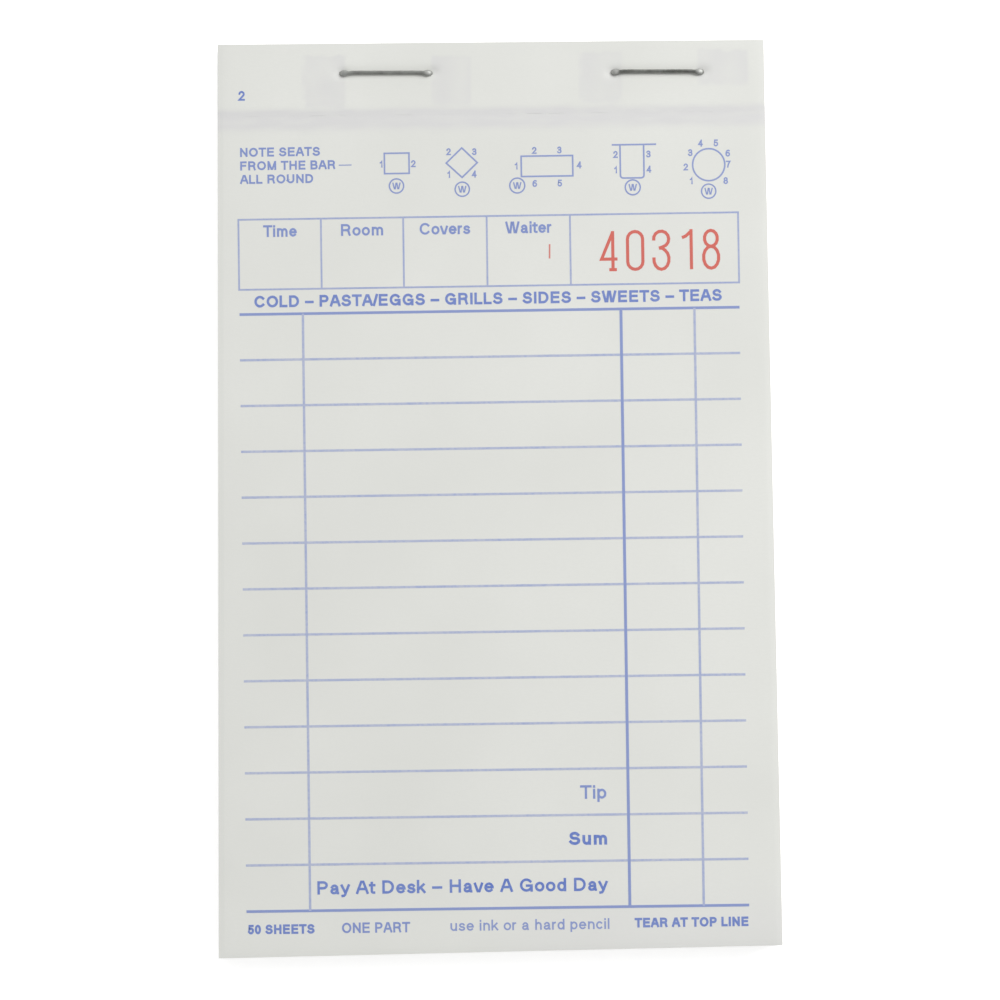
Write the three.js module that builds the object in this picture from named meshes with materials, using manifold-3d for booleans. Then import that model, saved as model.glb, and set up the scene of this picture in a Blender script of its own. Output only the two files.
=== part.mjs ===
import * as THREE from 'three';
import { mergeVertices } from 'three/addons/utils/BufferGeometryUtils.js';
import Module from 'manifold-3d';

// A stapled guest check pad, in millimetres. The pad lies face up on the XY plane. +Y runs towards the
// stapled end, +Z out of the printed face, and the origin is under the middle of the pad's outline.

// The trimmed outline. The guillotine leaves the pad slightly wider at its free end than at its
// stapled end, and cuts both ends a little out of square: each is lower or higher at the right.
const topWidth = 76.5;
const padLength = 127.8;
const flareLeft = 1.3;
const flareRight = 0.6;
const topFall = 0.5;
const endRise = 0.8;

// The stack.
const checkCount = 50;
const paperThickness = 0.1;
const boardThickness = 1.0;

// The tear line: short slits, with narrow ties of paper left between them.
const stubLength = 10.4;
const slitWidth = 0.25;
const tieWidth = 0.8;
const finePitch = 3.0;
const plainPitch = 15.0;
const tearClearance = 0.05;

// The two wire staples. Each is placed from the corner of the pad beside it.
const wireDiameter = 0.56;
const crownLength = 13.2;
const clinchLength = 4.3;
const leftStapleFromEdge = 23.7;
const leftStapleFromTop = 4.3;
const rightStapleFromEdge = 14.9;
const rightStapleFromTop = 4.3;
const seatGap = 0.02;
const legClearance = 0.15;
const clinchRecess = 0.03;

// How many checks are modelled with every slit of their tear line, and how many of the other stubs
// each block of stubs holds.
const fineChecks = 3;
const stubBlockCounts = [12, 12, 12, 11];

// Facets of half a leg hole and of half the wire's round section.
const holeSegments = 6;
const wireSegments = 5;

// What follows from those sizes.
const bottomWidth = topWidth + flareLeft + flareRight;
const topLeftX = flareLeft - bottomWidth / 2;
const topRightX = bottomWidth / 2 - flareRight;
const topY = padLength / 2;
const bottomY = -padLength / 2;
const topRightY = topY - topFall;
const bottomRightY = bottomY + endRise;
const tearY = topY - stubLength;
const stackTop = boardThickness + checkCount * paperThickness;
const wireRadius = wireDiameter / 2;
const legHoleRadius = wireRadius + legClearance;

const staples = [
  { name: 'staple_left', x: topLeftX + leftStapleFromEdge, y: topY - leftStapleFromTop },
  { name: 'staple_right', x: topRightX - rightStapleFromEdge, y: topRightY - rightStapleFromTop },
];
const legOffset = (crownLength - wireDiameter) / 2;

const paperMaterial = () =>
  new THREE.MeshStandardMaterial({ color: 0xe3e4df, roughness: 0.85, metalness: 0 });
const boardMaterial = () =>
  new THREE.MeshStandardMaterial({ color: 0xa39c8e, roughness: 0.9, metalness: 0 });
const wireMaterial = () =>
  new THREE.MeshStandardMaterial({ color: 0x9a9a96, roughness: 0.35, metalness: 1 });

// The x of the trimmed left and right edges at a given y.
function leftEdgeAt(y) {
  return topLeftX - flareLeft * (topY - y) / padLength;
}

function rightEdgeAt(y) {
  return topRightX + flareRight * (topRightY - y) / (topRightY - bottomRightY);
}

// A flat shape made into a solid of the given thickness, standing on the height z.
function sheetOf(shape, thickness, z) {
  const geometry = new THREE.ExtrudeGeometry(shape, {
    depth: thickness,
    bevelEnabled: false,
    curveSegments: holeSegments,
  });
  geometry.translate(0, 0, z);
  return geometry;
}

// Round holes for the four staple legs.
function addLegHoles(shape) {
  for (const staple of staples) {
    for (const side of [-1, 1]) {
      const hole = new THREE.Path();
      hole.absarc(staple.x + side * legOffset, staple.y, legHoleRadius, 0, 2 * Math.PI, true);
      shape.holes.push(hole);
    }
  }
}

// The stub's outline: the stapled end of a sheet, cut straight at the tear line.
function stubShape() {
  const lowY = tearY + tearClearance;
  const shape = new THREE.Shape();
  shape.moveTo(leftEdgeAt(lowY), lowY);
  shape.lineTo(rightEdgeAt(lowY), lowY);
  shape.lineTo(topRightX, topRightY);
  shape.lineTo(topLeftX, topY);
  shape.closePath();
  addLegHoles(shape);
  return shape;
}

// A check's outline: its upper edge is a comb, with a tie of paper at each end and between the slits.
function checkShape(pitch) {
  const left = leftEdgeAt(tearY);
  const right = rightEdgeAt(tearY);
  const slitCount = Math.round((right - left - tieWidth) / pitch);
  const step = (right - left - tieWidth) / slitCount;
  const shape = new THREE.Shape();
  shape.moveTo(left, tearY);
  shape.lineTo(leftEdgeAt(bottomY), bottomY);
  shape.lineTo(rightEdgeAt(bottomRightY), bottomRightY);
  shape.lineTo(right, tearY);
  for (let i = slitCount - 1; i >= 0; i -= 1) {
    const slitLeft = left + tieWidth + i * step;
    const slitRight = slitLeft + step - tieWidth;
    shape.lineTo(slitRight, tearY);
    shape.lineTo(slitRight, tearY - slitWidth);
    shape.lineTo(slitLeft, tearY - slitWidth);
    shape.lineTo(slitLeft, tearY);
  }
  shape.closePath();
  return shape;
}

// The height of the underside of a sheet, counted from 1 at the top of the pad.
function sheetZ(number) {
  return boardThickness + (checkCount - number) * paperThickness;
}

const wasm = await Module();
wasm.setup();

function toManifold(geometry) {
  const plain = geometry.clone();
  plain.deleteAttribute('normal');
  plain.deleteAttribute('uv');
  const merged = mergeVertices(plain, 1e-5);
  return new wasm.Manifold(new wasm.Mesh({
    numProp: 3,
    vertProperties: new Float32Array(merged.attributes.position.array),
    triVerts: new Uint32Array(merged.index.array),
  }));
}

function fromManifold(solid) {
  const mesh = solid.getMesh();
  const geometry = new THREE.BufferGeometry();
  geometry.setAttribute('position', new THREE.BufferAttribute(new Float32Array(mesh.vertProperties), 3));
  geometry.setIndex(new THREE.BufferAttribute(new Uint32Array(mesh.triVerts), 1));
  geometry.computeVertexNormals();
  return geometry;
}

// The groove that a clinched leg is pressed into: a round-ended slot from the leg hole inwards.
function clinchGroove(staple, side) {
  const outerX = staple.x + side * legOffset;
  const innerX = outerX - side * clinchLength;
  const lowX = Math.min(outerX, innerX);
  const highX = Math.max(outerX, innerX);
  const shape = new THREE.Shape();
  shape.absarc(lowX, staple.y, legHoleRadius, Math.PI / 2, 3 * Math.PI / 2, false);
  shape.absarc(highX, staple.y, legHoleRadius, -Math.PI / 2, Math.PI / 2, false);
  shape.closePath();
  const depth = clinchRecess + wireDiameter + legClearance;
  const below = 1;
  const geometry = new THREE.ExtrudeGeometry(shape, {
    depth: depth + below,
    bevelEnabled: false,
    curveSegments: holeSegments,
  });
  geometry.translate(0, 0, -below);
  return geometry;
}

// The backing board: the full trimmed outline, pierced by the legs and grooved for their ends.
function makeBoard() {
  const shape = new THREE.Shape();
  shape.moveTo(leftEdgeAt(bottomY), bottomY);
  shape.lineTo(rightEdgeAt(bottomRightY), bottomRightY);
  shape.lineTo(topRightX, topRightY);
  shape.lineTo(topLeftX, topY);
  shape.closePath();
  addLegHoles(shape);
  const plate = new THREE.ExtrudeGeometry(shape, {
    depth: boardThickness,
    bevelEnabled: false,
    curveSegments: holeSegments,
  });
  let board = toManifold(plate);
  for (const staple of staples) {
    for (const side of [-1, 1]) {
      board = board.subtract(toManifold(clinchGroove(staple, side)));
    }
  }
  return fromManifold(board);
}

// A path through chosen points, stepped from point to point, so that bends can be finer than runs.
class SteppedPath extends THREE.Curve {
  constructor(points) {
    super();
    this.points = points;
  }

  getPoint(t, target = new THREE.Vector3()) {
    const place = t * (this.points.length - 1);
    const index = Math.min(Math.floor(place), this.points.length - 2);
    return target.lerpVectors(this.points[index], this.points[index + 1], place - index);
  }

  getPointAt(u, target) {
    return this.getPoint(u, target);
  }

  getTangentAt(u, target) {
    return this.getTangent(u, target);
  }
}

// The middle line of a staple's wire: up from one clinched end, through the pad, across the crown and
// down to the other clinched end. Each bend is as tight as the wire allows.
function staplePath(staple) {
  const crownZ = stackTop + seatGap + wireRadius;
  const clinchZ = clinchRecess + wireRadius;
  const bend = wireRadius + seatGap;
  const bendSteps = 4;
  const points = [new THREE.Vector3(staple.x - legOffset + clinchLength, staple.y, clinchZ)];
  const turn = (centreX, centreZ, firstAngle, lastAngle) => {
    for (let i = 0; i <= bendSteps; i += 1) {
      const angle = firstAngle + (lastAngle - firstAngle) * i / bendSteps;
      const x = staple.x + centreX + bend * Math.cos(angle);
      points.push(new THREE.Vector3(x, staple.y, centreZ + bend * Math.sin(angle)));
    }
  };
  turn(-legOffset + bend, clinchZ + bend, -Math.PI / 2, -Math.PI);
  turn(-legOffset + bend, crownZ - bend, Math.PI, Math.PI / 2);
  turn(legOffset - bend, crownZ - bend, Math.PI / 2, 0);
  turn(legOffset - bend, clinchZ + bend, 0, -Math.PI / 2);
  points.push(new THREE.Vector3(staple.x + legOffset - clinchLength, staple.y, clinchZ));
  return new SteppedPath(points);
}

function makeStaple(staple) {
  const path = staplePath(staple);
  const section = new THREE.Shape();
  section.absarc(0, 0, wireRadius, 0, 2 * Math.PI, false);
  return new THREE.ExtrudeGeometry(section, {
    steps: path.points.length - 1,
    curveSegments: wireSegments,
    bevelEnabled: false,
    extrudePath: path,
  });
}

const pad = new THREE.Group();

function addPiece(name, geometry, material) {
  const mesh = new THREE.Mesh(geometry, material);
  mesh.name = name;
  pad.add(mesh);
}

function twoDigits(number) {
  return String(number).padStart(2, '0');
}

addPiece('backing_board', makeBoard(), boardMaterial());

for (const staple of staples) {
  addPiece(staple.name, makeStaple(staple), wireMaterial());
}

for (let number = 1; number <= checkCount; number += 1) {
  const shape = checkShape(number <= fineChecks ? finePitch : plainPitch);
  const sheet = sheetOf(shape, paperThickness, sheetZ(number));
  addPiece(`check_${twoDigits(number)}`, sheet, paperMaterial());
}

for (let number = 1; number <= fineChecks; number += 1) {
  const stub = sheetOf(stubShape(), paperThickness, sheetZ(number));
  addPiece(`stub_${twoDigits(number)}`, stub, paperMaterial());
}

let firstStub = fineChecks + 1;
for (const count of stubBlockCounts) {
  const lastStub = firstStub + count - 1;
  const block = sheetOf(stubShape(), count * paperThickness, sheetZ(lastStub));
  addPiece(`stub_block_${twoDigits(firstStub)}_${twoDigits(lastStub)}`, block, paperMaterial());
  firstStub = lastStub + 1;
}

export default pad;
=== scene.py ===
import math
import random

import bpy
from mathutils import Matrix, Vector, noise


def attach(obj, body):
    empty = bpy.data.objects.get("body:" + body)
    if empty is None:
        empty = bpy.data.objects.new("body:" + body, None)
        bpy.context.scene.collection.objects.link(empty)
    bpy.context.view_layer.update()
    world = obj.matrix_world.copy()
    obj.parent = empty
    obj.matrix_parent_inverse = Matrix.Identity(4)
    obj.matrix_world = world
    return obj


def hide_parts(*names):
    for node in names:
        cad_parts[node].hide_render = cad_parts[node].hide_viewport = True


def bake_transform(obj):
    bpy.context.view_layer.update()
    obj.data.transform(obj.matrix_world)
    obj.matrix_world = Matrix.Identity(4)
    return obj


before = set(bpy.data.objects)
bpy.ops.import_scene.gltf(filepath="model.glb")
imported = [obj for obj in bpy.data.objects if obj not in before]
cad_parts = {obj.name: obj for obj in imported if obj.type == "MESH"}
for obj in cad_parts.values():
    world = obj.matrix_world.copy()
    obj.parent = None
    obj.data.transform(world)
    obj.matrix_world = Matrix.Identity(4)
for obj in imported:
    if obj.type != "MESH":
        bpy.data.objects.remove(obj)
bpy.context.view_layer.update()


# The backing board: grey chipboard, pressed from waste paper, a millimetre thick. The guillotine
# trims it in one cut with the leaves, so its edges run flush with theirs, and its underside is
# pressed in where the ends of the staples are clinched.
MM = 0.001
board_thickness = 1.0
top_left = (-37.9, 63.9)
top_right = (38.6, 63.4)
end_left = (-39.2, -63.9)
end_right = (39.2, -63.1)
stapled_width = top_right[0] - top_left[0]
end_width = end_right[0] - end_left[0]
board_edge_radius = 0.16
board_edge_fray = 0.05
board_dent = 0.012
chipboard_grey = (0.385, 0.36, 0.31, 1.0)
chipboard_pale = (0.475, 0.45, 0.395, 1.0)
chipboard_fleck = (0.17, 0.16, 0.15, 1.0)
chipboard_chip = (0.66, 0.64, 0.58, 1.0)

staple_centres = [(-14.2, 59.6), (23.7, 59.1)]
staple_leg_offset = 6.32
clinch_length = 4.3
clinch_trough_depth = 0.62
clinch_trough_floor = 0.26
clinch_trough_slope = 0.42
clinch_trough_margin = 0.8


def smooth_step(t):
    t = min(max(t, 0.0), 1.0)
    return t * t * (3 - 2 * t)


def mix(a, b, t):
    return a + (b - a) * t


def spot(corners, u, v):
    """The point of a four-cornered outline at u across it and v up it. Corners: low left, low right,
    top right, top left."""
    low_left, low_right, high_right, high_left = corners
    x = mix(mix(low_left[0], low_right[0], u), mix(high_left[0], high_right[0], u), v)
    y = mix(mix(low_left[1], low_right[1], u), mix(high_left[1], high_right[1], u), v)
    return x, y


def even_steps(first, last, count):
    return [mix(first, last, i / count) for i in range(count + 1)]


def add_plate(verts, faces, us, vs, place, low, high):
    """Adds a closed sheet over a grid. Place puts a grid point on the pad, and low and high give the
    heights of its two faces there."""
    start = len(verts)
    points = [place(u, v) for v in vs for u in us]
    for height in (low, high):
        verts.extend((x * MM, y * MM, height(x, y) * MM) for x, y in points)
    wide = len(us)
    half = len(points)
    for j in range(len(vs) - 1):
        for i in range(wide - 1):
            a = start + j * wide + i
            faces.append((a, a + wide, a + wide + 1, a + 1))
            b = a + half
            faces.append((b, b + 1, b + wide + 1, b + wide))
    rim = list(range(wide))
    rim += [j * wide + wide - 1 for j in range(1, len(vs))]
    rim += [half - 1 - i for i in range(1, wide)]
    rim += [j * wide for j in range(len(vs) - 2, 0, -1)]
    rim = [start + i for i in rim]
    for a, b in zip(rim, rim[1:] + rim[:1]):
        faces.append((a, b, b + half, a + half))


def make_piece(name, verts, faces, material, sharp_angle=40):
    """An object at the origin, smooth but for its sharp edges."""
    mesh = bpy.data.meshes.new(name)
    mesh.from_pydata(verts, [], faces)
    mesh.materials.append(material)
    mesh.shade_smooth()
    mesh.set_sharp_from_angle(angle=math.radians(sharp_angle))
    piece = bpy.data.objects.new(name, mesh)
    bpy.context.scene.collection.objects.link(piece)
    return piece


def node_maker(tree):
    """Makes nodes for a material or the room. A socket is given its value, or another node's output."""

    def node(kind, sockets, **settings):
        made = tree.nodes.new("ShaderNode" + kind)
        for key, value in settings.items():
            setattr(made, key, value)
        for key, value in sockets.items():
            if isinstance(value, bpy.types.NodeSocket):
                tree.links.new(value, made.inputs[key])
            else:
                made.inputs[key].default_value = value
        return made

    return node


def new_finish(name, roughness, specular=0.5, metallic=0.0):
    """A material, its surface shader, and a maker of further nodes for it."""
    material = bpy.data.materials.new(name)
    material.use_nodes = True
    surface = material.node_tree.nodes["Principled BSDF"]
    surface.inputs["Roughness"].default_value = roughness
    surface.inputs["Specular IOR Level"].default_value = specular
    surface.inputs["Metallic"].default_value = metallic
    return material, surface, node_maker(material.node_tree)


def grain(node, place, scale, detail=3.0, stretch=(1, 1, 1)):
    """Noise of so many features a metre, as a value from 0 to 1."""
    mapped = node("Mapping", {"Vector": place, "Scale": stretch})
    return node("TexNoise", {"Vector": mapped.outputs[0], "Scale": scale, "Detail": detail}).outputs[0]


def spread(node, value, low, high, out_low=0.0, out_high=1.0):
    sockets = {"Value": value, 1: low, 2: high, 3: out_low, 4: out_high}
    return node("MapRange", sockets, clamp=True).outputs[0]


def connect(output, socket):
    output.id_data.links.new(output, socket)


def blend_colours(node, factor, first, second):
    """The first colour where the factor is 0 and the second where it is 1."""
    return node("Mix", {0: factor, 6: first, 7: second}, data_type="RGBA").outputs[2]


def add_bump(node, surface, height, strength, distance):
    bump = node("Bump", {"Strength": strength, "Distance": distance, "Height": height})
    connect(bump.outputs[0], surface.inputs["Normal"])


def flecks(node, place, scale, stretch, strength):
    """Scattered flecks, one to a cell at most and most of them small, as a value from 0 to strength."""
    mapped = node("Mapping", {"Vector": place, "Scale": stretch})
    cells = node("TexVoronoi", {"Vector": mapped.outputs[0], "Scale": scale}, feature="F1")
    chance = node("SeparateColor", {"Color": cells.outputs["Color"]}).outputs[0]
    size = node("Math", {0: chance, 1: 5.0}, operation="POWER").outputs[0]
    reach = node("Math", {0: cells.outputs["Distance"], 1: size}, operation="DIVIDE").outputs[0]
    return spread(node, reach, 0.18, 0.36, strength, 0.0)


def make_chipboard():
    """Grey pulp with cloudy patches, dark flecks and pale chips of printed paper, and loose fibres."""
    material, surface, node = new_finish("chipboard", 0.9, 0.25)
    place = node("TexCoord", {}).outputs["Object"]
    clouds = grain(node, place, 90, 4)
    fibres = grain(node, place, 900, 4, (1, 3.5, 1))
    colour = blend_colours(node, spread(node, clouds, 0.3, 0.7), chipboard_grey, chipboard_pale)
    colour = blend_colours(node, spread(node, fibres, 0.35, 0.75, 0.0, 0.35), colour, chipboard_pale)
    threads = grain(node, place, 700, 2, (0.35, 3, 1))
    colour = blend_colours(node, spread(node, threads, 0.66, 0.74, 0.0, 0.6), colour, chipboard_fleck)
    colour = blend_colours(node, flecks(node, place, 420, (1.6, 1, 1), 0.7), colour, chipboard_chip)
    colour = blend_colours(node, flecks(node, place, 760, (1, 1.5, 1), 0.9), colour, chipboard_fleck)
    connect(colour, surface.inputs["Base Color"])
    connect(spread(node, fibres, 0.3, 0.7, 0.82, 0.95), surface.inputs["Roughness"])
    add_bump(node, surface, fibres, 0.6, 0.00006)
    return material


chipboard = make_chipboard()
board_corners = (end_left, end_right, top_right, top_left)


def rounding(distance, radius):
    """How far a rounded edge falls at a distance in from the cut."""
    if distance >= radius:
        return 0.0
    return radius - math.sqrt(radius ** 2 - (radius - distance) ** 2)


def from_line(x, y, a, b):
    """The distance of a point from the line through a and b."""
    run = Vector(b) - Vector(a)
    return abs(run.x * (y - a[1]) - run.y * (x - a[0])) / run.length


def from_cut(x, y):
    sides = zip(board_corners, board_corners[1:] + board_corners[:1])
    return min(from_line(x, y, a, b) for a, b in sides)


def clinch_trough(x, y):
    """How deep the clinched wire has pressed the board in at this point."""
    depth = 0.0
    for centre_x, centre_y in staple_centres:
        for side in (-1, 1):
            outer = centre_x + side * staple_leg_offset
            inner = outer - side * clinch_length
            nearest = min(max(x, min(outer, inner)), max(outer, inner))
            distance = math.hypot(x - nearest, y - centre_y)
            depth = max(depth, 1 - smooth_step((distance - clinch_trough_floor) / clinch_trough_slope))
    return clinch_trough_depth * depth


def board_place(u, v):
    x, y = spot(board_corners, u, v)
    fray = board_edge_fray * noise.noise(Vector((x * 0.9, y * 0.9, 5.5)))
    if u in (0.0, 1.0):
        x += fray
    if v in (0.0, 1.0):
        y += fray
    return x, y


def board_low(x, y):
    dent = board_dent * noise.noise(Vector((x / 5, y / 5, 1.2)))
    return max(dent, 0.0) + rounding(from_cut(x, y), board_edge_radius) + clinch_trough(x, y)


def board_high(x, y):
    return board_thickness - rounding(from_cut(x, y), board_edge_radius)


def make_board():
    """A grid that is close along the cut edges and over the troughs, and open elsewhere."""
    length = top_left[1] - end_left[1]
    edge_steps = (0.0, 0.05, 0.11, 0.2)
    us = [step / end_width for step in edge_steps] + [1 - step / end_width for step in edge_steps]
    vs = [step / length for step in edge_steps] + [1 - step / length for step in edge_steps]
    us += even_steps(0.03, 0.97, 26)
    vs += even_steps(0.03, 0.93, 30)
    for centre_x, centre_y in staple_centres:
        for side in (-1, 1):
            outer = centre_x + side * staple_leg_offset
            first = outer + side * clinch_trough_margin
            last = outer - side * (clinch_length + clinch_trough_margin)
            us += [(x - top_left[0]) / stapled_width for x in even_steps(first, last, 34)]
        vs += [(y - end_left[1]) / length for y in even_steps(centre_y - 1.0, centre_y + 1.0, 16)]
    us = sorted(set(round(u, 5) for u in us))
    vs = sorted(set(round(v, 5) for v in vs))
    verts = []
    faces = []
    add_plate(verts, faces, us, vs, board_place, board_low, board_high)
    board = make_piece("board", verts, faces, chipboard, 50)
    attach(board, "stapled_base")
    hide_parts("backing_board")


make_board()


# The checks: fifty leaves of uncoated white writing paper, each held to its stub by the ties of a
# slitted tear line. They are jogged square, stapled and trimmed together, so their edges are flush
# but never perfect, least of all down in the stack.
check_count = 50
leaf_pitch = 0.1
leaf_thickness = 0.08
leaf_gap = 0.008
stack_top = board_thickness + check_count * leaf_pitch
pressed_leaves = 16
fine_leaves = 3
tear_y = 53.5
tear_rise = 0.04
tear_tilt = -0.004
slit_count = 25
plain_slit_count = 5
tie_width = 0.8
slit_gap = 0.016
slit_end = 0.02
edge_scatter = 0.03
edge_drift = 0.09
leaf_shade = 0.8
flush_leaves = 9
end_trim = 0.06
paper_light = (0.765, 0.770, 0.735, 1.0)
paper_dark = (0.725, 0.730, 0.695, 1.0)
# A greyer, faintly lavender paper colour: painted shade along the crease and at the free end, each
# leaf's own tone, and the stitching head's print.
paper_shade_and_tone = (0.687, 0.684, 0.680, 1.0)

# How far the painted crease shade reaches above and below the tear line.
crease_shade_above = 1.4
crease_shade_below = 2.7
# Painted shade at the checks' free end: its strength, where it starts, and how far it fades in.
foot_shade_strength = 0.36
foot_shade_corner = (-6, -51)
foot_shade_fade = (16, 10)

ripple = 0.05
fine_ripple = 0.012
check_length = 117
end_lift = 0.10
right_corner_lift = 0.22
left_corner_lift = 0.12
crease_depth = 0.032
crease_width = 0.95
edge_roll = 0.06
edge_roll_width = 0.9
stub_press = 0.03
crown_dent = 0.09
crown_half_length = 6.6
leg_dent = 0.16


def make_paper():
    """Soft white wood pulp: faint clouds from the paper machine, short fibres, and a dull surface,
    greyed where its points carry painted shade, a leaf's own tone and the stitching head's print.
    """
    material, surface, node = new_finish("paper", 0.85, 0.3)
    place = node("TexCoord", {}).outputs["Object"]
    clouds = grain(node, place, 45, 3)
    fibres = grain(node, place, 1500, 5, (1, 2.2, 1))
    tone = blend_colours(node, spread(node, clouds, 0.3, 0.7), paper_dark, paper_light)
    tone = blend_colours(node, spread(node, fibres, 0.35, 0.8, 0.0, 0.35), tone, paper_dark)
    # Painted shade, each leaf's own tone and the head's print, read from the points.
    painted_shade_and_tone = node("Attribute", {}, attribute_name="painted_shade_and_tone").outputs["Fac"]
    tone = blend_colours(node, painted_shade_and_tone, tone, paper_shade_and_tone)
    connect(tone, surface.inputs["Base Color"])
    connect(spread(node, fibres, 0.3, 0.7, 0.78, 0.92), surface.inputs["Roughness"])
    add_bump(node, surface, fibres, 0.35, 0.00002)
    return material


paper = make_paper()


def tear_at(x):
    """The tear line runs a hair out of square, lower to the right."""
    return tear_y + tear_tilt * x + tear_rise


def bell(distance, width):
    return math.exp(-(distance / width) ** 2)


def crease_tint(x, y):
    """How strongly shade is painted here along the tear line's crease, darkest in broken streaks on the
    slits, from 0 to 1.
    """
    past = y - tear_at(x) + 0.14 * noise.noise(Vector((x / 3, 0.0, 6.1)))
    band = smooth_step((crease_shade_above - past) / 1.1) * smooth_step((past + crease_shade_below) / 1.5)
    patchiness = 0.95 + 0.45 * noise.noise(Vector((x / 3, y / 0.7, 1.7)))
    broken = smooth_step(0.5 + 1.5 * noise.noise(Vector((x / 1.9, 3.0, 6.6))))
    streak = 0.4 * bell(past - 0.2, 0.3) * broken
    return band * patchiness + streak


def thumb_shade(x, y):
    """Painted shade: the free end is a little darker towards the right."""
    along = smooth_step((foot_shade_corner[1] - y) / foot_shade_fade[1])
    across = smooth_step((x - foot_shade_corner[0]) / foot_shade_fade[0])
    return foot_shade_strength * along * across


# Painted shade along the crease and at the free end.
def check_tint(x, y):
    return crease_tint(x, y) + thumb_shade(x, y)


def leaf_tints(number, verts, face_shade_and_print):
    """How grey each point of a leaf is: the leaf's own tone on its whole, and on the face of the
    uppermost ones a painted shade along the crease and at the checks' free end, with the stitching
    head's print on the stubs."""
    chance = random.Random(500 + number)
    shade = min((number - 1) / 4, 1.0) * leaf_shade * chance.random()
    half = len(verts) // 2
    if number > fine_leaves:
        return [shade] * len(verts)
    return [shade] * half + [shade + face_shade_and_print(x / MM, y / MM) for x, y, z in verts[half:]]


def mark_points(piece, name, values):
    """Gives each point of a piece a value that its material reads."""
    piece.data.attributes.new(name, "FLOAT", "POINT").data.foreach_set("value", values)


def edge_x(y, low, high):
    return mix(low[0], high[0], (y - low[1]) / (high[1] - low[1]))


def stack_rise(x, y):
    """How far the top of the stack lies above a flat one here: the leaves ripple a little, lift at the
    free corners, and are pressed down along the tear line and under the staples."""
    rise = ripple * noise.noise(Vector((x / 26, y / 30, 3.1)))
    rise += fine_ripple * noise.noise(Vector((x / 12, y / 14, 7.7)))
    rise += end_lift * smooth_step((tear_y - y) / check_length)
    rise += right_corner_lift * smooth_step((x - 0.6 * y - 38) / 45)
    rise += left_corner_lift * smooth_step((-x - 0.6 * y - 42) / 45)
    wander = 0.1 * noise.noise(Vector((x / 15, 0.0, 9.4)))
    depth = crease_depth * (1 + 0.35 * noise.noise(Vector((x / 9, 2.0, 4.4))))
    side = min(x - edge_x(y, end_left, top_left), edge_x(y, end_right, top_right) - x)
    end = y - mix(end_left[1], end_right[1], 0.5 + x / end_width)
    rise -= edge_roll * smooth_step(1 - min(side, end) / edge_roll_width)
    past = y - tear_at(x)
    rise -= depth * bell(past - wander, crease_width)
    if past > 0:
        rise -= stub_press * smooth_step(past / 3)
        for centre in staple_centres:
            beyond = max(abs(x - centre[0]) - crown_half_length, 0.0)
            rise -= crown_dent * bell(math.hypot(beyond, y - centre[1]), 0.75)
            leg_x = abs(x - centre[0]) - staple_leg_offset
            rise -= leg_dent * bell(math.hypot(leg_x + 0.15, y - centre[1]), 0.62)
    return rise


def leaf_low(number):
    """The height of the underside of a leaf, counted from 1 at the top of the pad."""
    flat = board_thickness + (check_count - number) * leaf_pitch + leaf_gap
    share = max(pressed_leaves + 1 - number, 0) / pressed_leaves
    if share == 0:
        return lambda x, y: flat
    return lambda x, y: flat + share * stack_rise(x, y)


def leaf_high(number):
    low = leaf_low(number)
    return lambda x, y: low(x, y) + leaf_thickness


tear_left = (edge_x(tear_y, end_left, top_left), tear_at(-38))
tear_right = (edge_x(tear_y, end_right, top_right), tear_at(38.7))
check_corners = (end_left, end_right, tear_right, tear_left)
tear_width = tear_right[0] - tear_left[0]


def slit_columns(count):
    """Grid columns with the ends of each slit among them, and which of them lie in a slit."""
    columns = [(0.0, False)]
    step = (tear_width - tie_width) / count
    for i in range(count):
        left = tie_width + i * step
        right = left + step - tie_width
        columns += [(left, False), (left + slit_end, True), ((left + right) / 2, True)]
        columns += [(right - slit_end, True), (right, False)]
    columns += [(tear_width, False), (tie_width / 2, False), (tear_width - tie_width / 2, False)]
    return [(x / tear_width, inside) for x, inside in sorted(columns)]


def check_rows(plain_count):
    """Rows from the free end up to the tear line, close together where the paper bends."""
    length = tear_y - end_left[1]
    bend_rows = (0.0, 0.15, 0.3, 0.5, 0.7, 0.9, 1.1, 1.3, 1.5, 1.9, 2.3, 2.9, 3.6, 4.2)
    close = [row / length for row in bend_rows]
    rows = [0.0, 0.4 / length] + even_steps(0.9 / length, 1 - 5.2 / length, plain_count)
    return rows + [1 - v for v in reversed(close)]


def check_grid(number):
    """The columns and rows of a leaf: finest on the uppermost, and open where only an edge shows."""
    if number == 1:
        return slit_columns(slit_count), check_rows(56)
    if number <= fine_leaves:
        return slit_columns(slit_count), check_rows(36)
    if number <= pressed_leaves:
        return slit_columns(plain_slit_count), check_rows(24)
    return slit_columns(plain_slit_count), check_rows(4)


def drift(number, which):
    """How far the edges of neighbouring leaves wander together off the cut, which no guillotine blade
    holds quite upright."""
    return edge_drift * noise.noise(Vector((number / 5.5, which, 0.5)))


def check_place(number, columns):
    chance = random.Random(700 + number)
    loose = min(1.0, (number - 1) / flush_leaves) ** 1.5
    skew = loose * (drift(number, 1.0) + chance.uniform(-edge_scatter, edge_scatter))
    slip = loose * (drift(number, 2.0) + chance.uniform(-edge_scatter, edge_scatter)) + end_trim
    in_slit = {round(u, 7) for u, inside in columns if inside}
    slit_widths = [chance.uniform(0.1, 1.0) ** 2 for i in range(slit_count + 1)]

    def place(u, v):
        x, y = spot(check_corners, u, v)
        free = 1 - v
        x += skew * free
        y += slip * free
        if v == 1.0 and round(u, 7) in in_slit:
            y -= slit_gap * slit_widths[int(u * slit_count)]
        return x, y

    return place


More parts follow.
